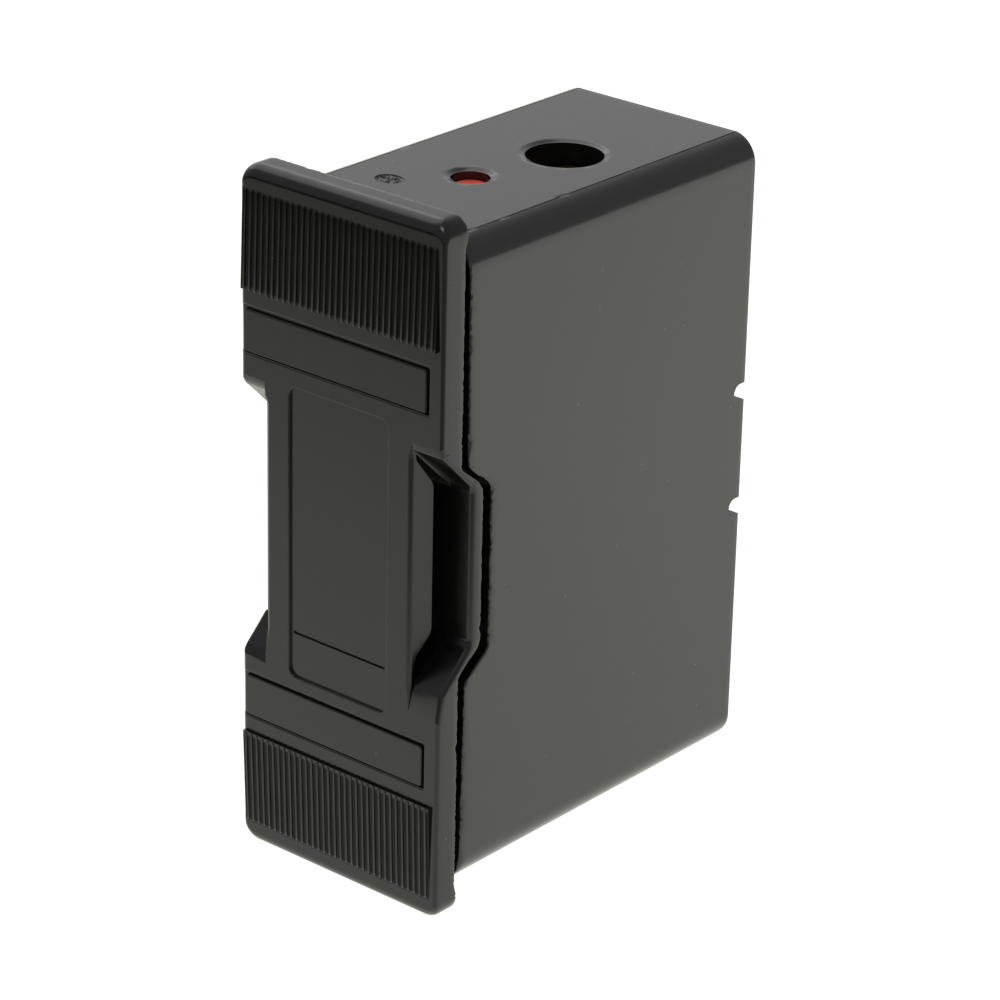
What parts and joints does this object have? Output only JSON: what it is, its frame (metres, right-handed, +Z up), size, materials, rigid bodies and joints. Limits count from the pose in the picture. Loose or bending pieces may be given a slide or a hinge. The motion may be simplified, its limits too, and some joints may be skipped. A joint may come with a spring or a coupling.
{
  "type": "cartridge fuse holder",
  "caption": "Front-wired cartridge fuse holder: moulded base with cable entries and spring contacts, and a pull-out carrier that clips an offset-tag fuse link",
  "frame": {"origin": "centre of the flat mounting face at the back of the base", "axes": "+Z up along the holder's length, from the lower cable entry to the upper one; the carrier faces -Y; +X to the right when looking at the carrier; +Y out of the back, into the panel"},
  "size_m": [0.0282, 0.0512, 0.0772],
  "materials": {
    "base_moulding": "satin black phenolic moulding, slightly mottled",
    "carrier_moulding": "satin black phenolic moulding",
    "fuse_ceramic": "off-white glazed ceramic barrel",
    "fuse_element": "silvered strip",
    "fuse_cap": "dull tin plate",
    "fuse_tag": "dull tin plate",
    "carrier_contact": "dull tin plate on copper",
    "fixed_contact": "dull tin plate on copper",
    "spring_steel": "bright spring steel",
    "plated_steel": "zinc plate",
    "screw_steel": "zinc plate",
    "terminal_brass": "machined brass",
    "red_seal": "red moulded plug"
  },
  "bodies": {
    "base": {"base_housing": "base_moulding", "upper_fixed_contact": "fixed_contact", "lower_fixed_contact": "fixed_contact", "upper_jaw_spring": "spring_steel", "lower_jaw_spring": "spring_steel", "upper_terminal_block": "terminal_brass", "lower_terminal_block": "terminal_brass", "upper_contact_screw": "screw_steel", "lower_contact_screw": "screw_steel", "upper_sealing_plug": "red_seal", "lower_sealing_plug": "red_seal"},
    "carrier": {"carrier_body": "carrier_moulding", "upper_carrier_contact": "carrier_contact", "lower_carrier_contact": "carrier_contact", "upper_clip_spring": "spring_steel", "lower_clip_spring": "spring_steel", "upper_carrier_screw": "screw_steel", "lower_carrier_screw": "screw_steel"},
    "fuse_link": {"fuse_body": "fuse_ceramic", "fuse_element": "fuse_element", "upper_end_cap": "fuse_cap", "lower_end_cap": "fuse_cap", "upper_fuse_tag": "fuse_tag", "lower_fuse_tag": "fuse_tag"},
    "upper_clamp": {"upper_clamp_plate": "plated_steel"},
    "lower_clamp": {"lower_clamp_plate": "plated_steel"},
    "upper_screw": {"upper_terminal_screw": "screw_steel"},
    "lower_screw": {"lower_terminal_screw": "screw_steel"}
  },
  "joints": [
    {"name": "carrier_slide", "type": "slide", "parent": "base", "child": "carrier", "axis": [0, -1, 0], "range_m": [0, 0.055]},
    {"name": "fuse_unclip", "type": "slide", "parent": "carrier", "child": "fuse_link", "axis": [0, 1, 0], "range_m": [0, 0.011]},
    {"name": "upper_clamp_travel", "type": "slide", "parent": "base", "child": "upper_clamp", "axis": [0, 1, 0], "range_m": [0, 0.0028]},
    {"name": "upper_screw_turn", "type": "hinge", "parent": "upper_clamp", "child": "upper_screw", "pos_m": [0.0041, -0.025, 0.0274], "axis": [0, 1, 0], "range_deg": [0, 1441]},
    {"name": "lower_clamp_travel", "type": "slide", "parent": "base", "child": "lower_clamp", "axis": [0, 1, 0], "range_m": [0, 0.0028]},
    {"name": "lower_screw_turn", "type": "hinge", "parent": "lower_clamp", "child": "lower_screw", "pos_m": [0.0041, -0.025, -0.0274], "axis": [0, 1, 0], "range_deg": [0, 1441]}
  ],
  "couplings": [
    {"joint": "upper_screw_turn", "follows": "upper_clamp_travel", "rad_per_m": 8976},
    {"joint": "lower_screw_turn", "follows": "lower_clamp_travel", "rad_per_m": 8976}
  ]
}
